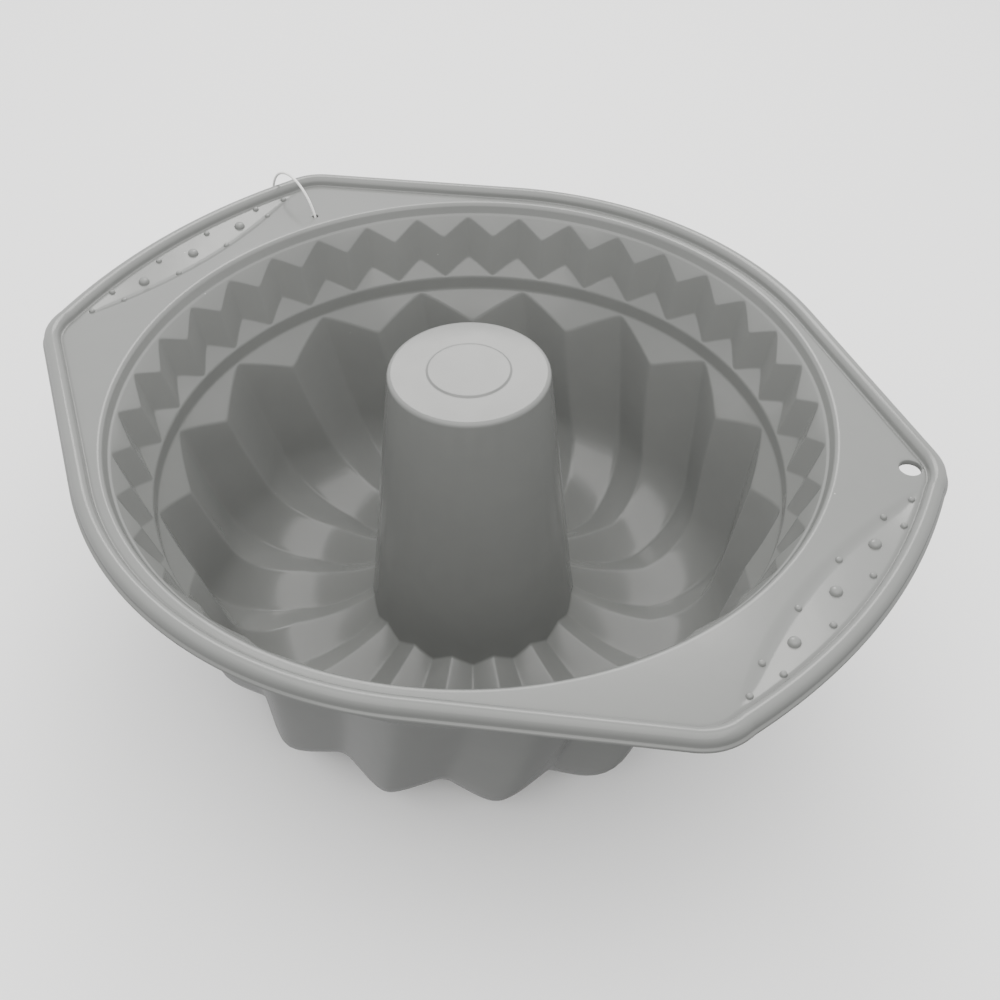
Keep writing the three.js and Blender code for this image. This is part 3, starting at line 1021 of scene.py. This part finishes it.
@dataclass
class Flange:
    """Flange with its two ears, rim bead, lip, grip recesses and holes as one closed skin, in millimetres.

    The seam starts a lift above the underside. Its rows are (distance beyond the mouth, height) and the lip's
    are (distance inside the outline, height). The groove's distances count inwards from the bead's foot.
    """

    form: Moulding
    outline: Outline
    grip: Grip
    holes: Holes
    lip: float = 0.7
    bead_width: float = 5.0
    bead_rise: float = 2.8
    bead_low: float = 0.3
    bead_power: float = 0.9
    bead_rows: int = 13
    groove: float = 0.2
    groove_at: tuple[float, float, float] = (0.95, 0.55, 0.15)
    seam_start: float = 0.4
    seam_lift: float = 0.1
    seam: tuple[Pair, ...] = ((0.6, -0.05), (0.9, -0.012), (1.25, -0.003))
    seam_end: float = 1.6
    lip_rows: tuple[Pair, ...] = (
        (0.7, -0.35),
        (0.62, -0.6),
        (0.1, -0.75),
        (0.0, -1.0),
        (0.0, -1.6),
        (0.25, -2.0),
    )
    under_inset: float = 0.9
    top_rows: int = 36
    under_rows: int = 18
    patch_share: float = 1.5
    patch_margin: float = 0.3
    collar_shares: tuple[float, ...] = (0.35, 0.7, 1.0)

    def build(self, material: bpy.types.Material) -> list[bpy.types.Object]:
        """Builds and dresses the flange and the bumps on it.

        Args:
            material: the silicone.

        Returns:
            The two pieces.
        """
        grid, top, under = self._grid()
        keep = np.ones(grid.shape[:2], bool)
        skin = Skin()
        holes = (self.holes.hang, self.holes.thread)
        openings = [[self._block(grid, rows, hole, keep) for rows in (top, under)] for hole in holes]
        skin.grid(grid, ring=True, keep=keep)
        for hole, loops in zip(holes, openings):
            self._wall(skin, [self._collar(skin, grid, loop, hole) for loop in loops], hole)
        piece = skin.build("flange_and_bead", self.form.rim_height, True)
        dress(piece, material, Body.MOULD, Slot.SILICONE)
        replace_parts(piece, "mould")
        return [piece, self._bumps(material)]

    def _grid(self) -> tuple[np.ndarray, range, range]:
        """Rows round the flange's section, carried along the outline.

        The bead's height is low + (rise - low) sin(a)^p, at the place half - half cos(a) across its width.

        Returns:
            Rows by columns by 3, the rows of the top face and those of the underside.
        """
        path = self.outline.points()
        run = unit(np.roll(path, -1, 0) - np.roll(path, 1, 0))
        out = np.stack([run[:, 1], -run[:, 0]], -1)
        ray = unit(path)
        mouth, wall = self.form.mouth_r, self.form.wall
        foot = self.lip + self.bead_width
        groove_end, *groove_rows = self.groove_at
        rows = [self._row(ray * (mouth + self.seam_start), self.seam_lift - wall)]
        rows += [self._row(ray * (mouth + apart), height) for apart, height in self.seam]
        first = len(rows)
        start, end = ray * (mouth + self.seam_end), path - out * (foot + groove_end)
        for t in np.linspace(0, 1, self.top_rows):
            flat = mix(start, end, t)
            rows.append(self._row(flat, -self.grip.sink(flat[:, 0], flat[:, 1])))
        top = range(first, len(rows))
        rows += [self._row(path - out * (foot + apart), -self.groove) for apart in groove_rows]
        half = self.bead_width / 2
        for bend in np.linspace(np.pi, 0, self.bead_rows):
            inward = self.lip + half - half * np.cos(bend)
            height = mix(self.bead_low, self.bead_rise, np.sin(bend) ** self.bead_power)
            rows.append(self._row(path - out * inward, height))
        rows += [self._row(path - out * inward, height) for inward, height in self.lip_rows]
        first = len(rows)
        start, end = path - out * self.under_inset, ray * (mouth + self.seam_end)
        for t in np.linspace(0, 1, self.under_rows):
            rows.append(self._row(mix(start, end, t), -wall))
        return np.stack(rows), top, range(first, len(rows))

    def _row(self, flat: np.ndarray, height: Any) -> np.ndarray:
        """Plan points with a height."""
        return stack(flat[:, 0], flat[:, 1], height)

    def _block(self, grid: np.ndarray, rows: range, hole: Hole, keep: np.ndarray) -> np.ndarray:
        """Takes the cells round a hole out of the grid.

        Args:
            grid: rows by columns by 3.
            rows: the rows of the face that the hole goes through.
            hole: the hole.
            keep: mask of cells, changed here.

        Returns:
            Grid indices of the points round the opening, in order.
        """
        columns = grid.shape[1]
        gap = np.linalg.norm(grid[rows.start : rows.stop, :, :2] - hole.middle(), axis=-1)
        row, column = np.unravel_index(np.argmin(gap), gap.shape)
        row += rows.start
        here = grid[row, column, :2]
        tall = np.linalg.norm(grid[row + 1, column, :2] - here)
        wide = np.linalg.norm(grid[row, (column + 1) % columns, :2] - here)
        reach = self.patch_share * hole.radius + self.patch_margin
        up, side = math.ceil(reach / tall), math.ceil(reach / wide)
        low, high = max(row - up, rows.start), min(row + up, rows.stop - 1)
        across = np.arange(column - side, column + side + 1) % columns
        keep[np.ix_(range(low, high), across[:-1])] = False
        ladder = np.arange(low, high + 1)
        loop = [
            low * columns + across[:-1],
            ladder[:-1] * columns + across[-1],
            high * columns + across[:0:-1],
            ladder[:0:-1] * columns + across[0],
        ]
        return np.concatenate(loop)

    def _collar(self, skin: Skin, grid: np.ndarray, loop: np.ndarray, hole: Hole) -> np.ndarray:
        """Fills between an opening in the grid and the hole's rounded edge.

        Args:
            skin: mesh being made.
            grid: rows by columns by 3.
            loop: grid indices round the opening.
            hole: the hole.

        Returns:
            Point indices of the last ring, at the hole's wall.
        """
        around = grid.reshape(-1, 3)[loop]
        edge, level = around[:, :2], around[:, 2]
        middle = hole.middle()
        ray = unit(edge - middle)
        sunk = -self.grip.sink(*middle)
        under = level.mean() < (sunk - self.form.wall) / 2
        face, inward = (-self.form.wall, 1.0) if under else (sunk, -1.0)
        goal = middle + ray * (hole.radius + hole.rounding)
        last = loop
        for t in self.collar_shares:
            last = self._ring(skin, last, mix(edge, goal, t), mix(level, face, t))
        for bend in (np.pi / 4, np.pi / 2):
            spread = hole.radius + hole.rounding * (1 - np.sin(bend))
            height = face + inward * hole.rounding * (1 - np.cos(bend))
            last = self._ring(skin, last, middle + ray * spread, height)
        return last

    def _ring(self, skin: Skin, last: np.ndarray, flat: np.ndarray, height: Any) -> np.ndarray:
        """Adds a loop of points and joins it to the loop before it.

        Args:
            skin: mesh being made.
            last: indices of the loop before.
            flat: plan points.
            height: their heights.

        Returns:
            Indices of the new loop.
        """
        start = skin.add(self._row(flat, height))
        loop = start + np.arange(len(flat))
        skin.bridge(last, loop)
        return loop

    def _wall(self, skin: Skin, rings: list[np.ndarray], hole: Hole) -> None:
        """Joins the two edges of a hole with triangles, one for each step along either edge, by bearing.

        Args:
            skin: mesh being made.
            rings: point indices of the upper and the lower edge.
            hole: the hole.
        """
        points = np.concatenate(skin.points)
        orders = []
        for ring in rings:
            bearing = np.arctan2(points[ring, 1] - hole.y, points[ring, 0] - hole.x)
            order = np.argsort(bearing)
            orders.append((ring[order], bearing[order]))
        loops = [ring for ring, _ in orders]
        moves: list[tuple[float, int]] = []
        for which, (_, bearing) in enumerate(orders):
            moves += [(at, which) for at in (*bearing[1:], np.inf)]
        place = [0, 0]
        faces = []
        for _, which in sorted(moves):
            above, below = [ring[at % len(ring)] for ring, at in zip(loops, place)]
            place[which] += 1
            ring = loops[which]
            faces.append((above, ring[place[which] % len(ring)], below))
        skin.triangles.append(np.array(faces))

    def _bumps(self, material: bpy.types.Material) -> bpy.types.Object:
        """Domed bumps: radius r cos(a)^p (1 + flare (1 - sin a)^4) and height h sin(a), rooted in the recess.

        Args:
            material: the silicone.

        Returns:
            The piece.
        """
        grip = self.grip
        places = grip.bumps()
        floors = -grip.sink(places[:, 0], places[:, 1])
        x, y, radius, height = places.T[:, :, None, None]
        floor = floors[:, None, None]
        bend = np.linspace(0, np.pi / 2, grip.dome_rows)[None, :-1, None]
        angle = full_turn(grip.dome_columns)[None, None]
        across = radius * np.cos(bend) ** grip.dome_power * (1.0 + grip.flare * (1 - np.sin(bend)) ** 4)
        wide = across[:, :1]
        domes = stack(x + across * np.cos(angle), y + across * np.sin(angle), floor + height * np.sin(bend))
        roots = stack(x + wide * np.cos(angle), y + wide * np.sin(angle), floor - grip.root)
        skin = Skin()
        for dome, root, (tip_x, tip_y, _, rise), bottom in zip(domes, roots, places, floors):
            ends = [(tip_x, tip_y, bottom + up) for up in (-grip.root, rise)]
            skin.closed(np.concatenate([root, dome]), *ends)
        piece = skin.build("grip_bumps", self.form.rim_height)
        dress(piece, material, Body.MOULD, Slot.SILICONE)
        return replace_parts(piece, "mould")


@dataclass
class TagLoop:
    """Nylon thread ring through the flange, with its lock, in millimetres.

    The ring's centre lies the drop below the flange's middle height. The lock's side runs from one end
    towards its middle, as (share of the half length, share of the radius).
    """

    hole: Hole
    rim_height: float
    wall: float
    bearing: float = math.radians(167.5)
    drop: float = 4.5
    loop_r: float = 14.9
    thread_r: float = 0.45
    lock_r: float = 1.5
    lock_length: float = 4.4
    lock_side: tuple[Pair, ...] = (
        (1.0, 0.34),
        (1.0, 0.66),
        (0.94, 0.84),
        (0.82, 0.92),
        (0.6, 0.92),
        (0.52, 0.98),
        (0.44, 1.0),
    )
    ring_columns: int = 240
    thread_columns: int = 16
    lock_columns: int = 24

    def build(self, material: bpy.types.Material) -> list[bpy.types.Object]:
        """Builds and dresses the thread and the lock.

        Args:
            material: the nylon.

        Returns:
            The two pieces.
        """
        pieces = [self._thread(), self._lock()]
        for piece in pieces:
            dress(piece, material, Body.TAG, Slot.NYLON)
            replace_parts(piece, "tag_loop")
        return pieces

    def _axes(self) -> tuple[np.ndarray, np.ndarray, np.ndarray, np.ndarray]:
        """Places the ring so that its thread runs through the hole.

        Returns:
            Centre of the ring, direction away from the hole, up, and the ring's own axis.
        """
        outward = np.array([math.cos(self.bearing), math.sin(self.bearing), 0.0])
        up = np.array([0.0, 0.0, 1.0])
        apart = math.sqrt(self.loop_r**2 - self.drop**2)
        flat = np.array([self.hole.x, self.hole.y, 0.0]) + outward * apart
        centre = flat + up * (self.rim_height - self.wall / 2 - self.drop)
        return centre, outward, up, np.cross(outward, up)

    def _thread(self) -> bpy.types.Object:
        """Ring: centre + (R + r cos b)(cos a, sin a) in its plane + r sin b along its axis.

        Returns:
            The piece.
        """
        centre, outward, up, axis = self._axes()
        a = full_turn(self.ring_columns)[:, None, None]
        b = full_turn(self.thread_columns)[None, :, None]
        spread = self.loop_r + self.thread_r * np.cos(b)
        points = centre + spread * (np.cos(a) * outward + np.sin(a) * up) + self.thread_r * np.sin(b) * axis
        skin = Skin()
        skin.grid(points, ring=True)
        return skin.build("tag_thread", recalculate=True)

    def _lock(self) -> bpy.types.Object:
        """Barrel with rounded ends and two collars, turned about the thread at the ring's lowest point.

        Returns:
            The piece.
        """
        centre, outward, up, axis = self._axes()
        half = self.lock_length / 2
        side = np.array(self.lock_side)
        along = half * np.concatenate([-side[:, 0], side[::-1, 0]])[:, None, None]
        width = self.lock_r * np.concatenate([side[:, 1], side[::-1, 1]])[:, None, None]
        angle = full_turn(self.lock_columns)[None, :, None]
        place = centre - up * self.loop_r
        points = place + along * outward + width * (np.cos(angle) * up + np.sin(angle) * axis)
        skin = Skin()
        skin.closed(points, place - outward * half, place + outward * half)
        return skin.build("tag_lock", recalculate=True)


@dataclass(frozen=True)
class Lamp:
    """Soft area light: place and size in metres, power in watts."""

    name: str
    place: tuple[float, float, float]
    size: Pair
    power: float


@dataclass(frozen=True)
class Sky:
    """Brightness of the white surroundings by direction.

    Each pair is where a change starts and where it ends, measured on a direction of length 1: upwards for the
    climb from low to high and for the shade below, away from the camera for the far side, and away and to the
    right for the corner.
    """

    low: float = 0.82
    high: float = 1.6
    climb: Pair = (-0.1, 0.75)
    far: float = 0.7
    far_side: Pair = (-0.7, 0.7)
    below: Pair = (-0.9, 0.0)
    shade: float = 0.45
    corner_shade: float = 0.35
    corner: Pair = (-0.8, 0.6)


@dataclass
class Studio:
    """Floor, soft lights and the camera at the photograph's angle.

    The floor's sizes are in millimetres: a small disc, a flat ring, a quarter round and a low wall.
    """

    mouth_r: float
    rim_height: float
    focal_px: float = 1300.5
    image_px: float = 1000.0
    azimuth: float = math.radians(38.63)
    elevation: float = math.radians(44.55)
    roll: float = math.radians(0.13)
    distance: float = 3.5852
    pan: Pair = (-0.0838, 0.2819)
    sensor: float = 36.0
    nearest: float = 0.01
    disc_r: float = 10.0
    ring_r: float = 2850.0
    flat_r: float = 3000.0
    round_r: float = 1500.0
    wall_top: float = 1800.0
    round_rows: int = 17
    floor_columns: int = 128
    sky: Sky = Sky()
    overhead: Lamp = Lamp("overhead", (0.20, -0.25, 0.80), (1.0, 1.0), 5.4)
    window: Lamp = Lamp("window", (-0.40, 0.50, 0.73), (0.5, 0.36), 3.9)
    tint: tuple[float, float, float] = (1.0, 0.985, 0.955)
    aim_share: float = 0.6

    def build(self) -> None:
        """Makes the floor, the lights, the world and the camera."""
        self._floor()
        self._world()
        for lamp in (self.overhead, self.window):
            self._light(lamp)
        self._camera()

    def _floor(self) -> None:
        """Pale floor that throws no light back up: a section turned about the middle."""
        bend = np.linspace(0, np.pi / 2, self.round_rows)
        round_r, end_r = self.flat_r + self.round_r * np.sin(bend), self.flat_r + self.round_r
        radius = np.concatenate([[self.disc_r, self.ring_r], round_r, [end_r]])[:, None]
        height = np.concatenate([[0.0, 0.0], self.round_r * (1 - np.cos(bend)), [self.wall_top]])[:, None]
        skin = Skin()
        start = skin.grid(turn(stack(radius, height, full_turn(self.floor_columns))), flip=True)
        skin.fan(start + np.arange(self.floor_columns), (0, 0, 0))
        floor = skin.build("floor")
        floor.data.materials.append(FloorFinish().material())
        floor.visible_diffuse = False
        floor.visible_glossy = False
        floor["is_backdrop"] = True

    def _world(self) -> None:
        """White surroundings, brighter overhead and on the far side, and dim below, most at the far right."""
        graph = Graph(bpy.data.worlds.new("studio"), "ShaderNodeBackground", "ShaderNodeOutputWorld")
        ray = graph.node("ShaderNodeTexCoord", {}, {}, "Generated")
        x, y, z = [graph.node("ShaderNodeSeparateXYZ", {}, {0: ray}, axis) for axis in range(3)]
        away = y * math.cos(self.azimuth) - x * math.sin(self.azimuth)
        side = x * math.cos(self.azimuth) + y * math.sin(self.azimuth)
        sky = self.sky
        glow = mix(sky.low, sky.high, z.smooth(*sky.climb)) + sky.far * away.smooth(*sky.far_side)
        shade = sky.shade + sky.corner_shade * (away + side).smooth(*sky.corner)
        shade = (1.0 - z.smooth(*sky.below)) * shade
        graph.feed(Color=(1.0, 1.0, 1.0, 1.0), Strength=glow * (1.0 - shade))
        bpy.context.scene.world = graph.owner

    def _light(self, lamp: Lamp) -> None:
        """Area light aimed at the mould.

        Args:
            lamp: its place, size and power.
        """
        data = bpy.data.lights.new(lamp.name, "AREA")
        data.shape = "RECTANGLE"
        data.size, data.size_y = lamp.size
        data.energy = lamp.power
        data.color = self.tint
        light = bpy.data.objects.new(lamp.name, data)
        aim = Vector((0, 0, self.rim_height * MM * self.aim_share)) - Vector(lamp.place)
        turned = aim.to_track_quat("-Z", "Y").to_matrix().to_4x4()
        light.matrix_world = Matrix.Translation(lamp.place) @ turned
        bpy.context.scene.collection.objects.link(light)

    def _camera(self) -> None:
        """Camera at the fitted distance, in units of the mouth's radius from the flange's centre."""
        sin_a, cos_a = math.sin(self.azimuth), math.cos(self.azimuth)
        sin_e, cos_e = math.sin(self.elevation), math.cos(self.elevation)
        back = Vector((sin_a * cos_e, -cos_a * cos_e, sin_e))
        level = Vector((cos_a, sin_a, 0))
        rise = back.cross(level)
        right = math.cos(self.roll) * level + math.sin(self.roll) * rise
        up = -math.sin(self.roll) * level + math.cos(self.roll) * rise
        unit = self.mouth_r * MM
        place = (self.distance * back - self.pan[0] * right - self.pan[1] * up) * unit
        place += Vector((0, 0, self.rim_height * MM))
        data = bpy.data.cameras.new("camera")
        data.sensor_width = self.sensor
        data.lens = self.focal_px / self.image_px * self.sensor
        data.clip_start = self.nearest
        camera = bpy.data.objects.new("camera", data)
        turned = Matrix((right, up, back)).transposed()
        camera.matrix_world = Matrix.Translation(place) @ turned.to_4x4()
        bpy.context.scene.collection.objects.link(camera)
        bpy.context.scene.camera = camera


def write_sizes() -> None:
    """Works out the solids' box and the dressed part's box as plain lists, and keeps neither."""
    boxes = {"cad": CAD_BOX, "visual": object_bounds()}
    {key: [list(corner) for corner in box] for key, box in boxes.items()}


def main() -> None:
    """Builds the studio and every piece of the mould."""
    logging.basicConfig(level=logging.INFO, format="%(name)s: %(message)s")
    form = Moulding()
    studio = Studio(form.mouth_r, form.rim_height)
    studio.build()
    silicone = SiliconeFinish().material()
    nylon = NylonFinish().material()
    holes = Holes()
    Bowl(form).build(silicone)
    Flange(form, Outline(), Grip(), holes).build(silicone)
    TagLoop(holes.thread, form.rim_height, form.wall).build(nylon)
    bpy.context.view_layer.update()
    write_sizes()


if __name__ == "__main__":
    main()
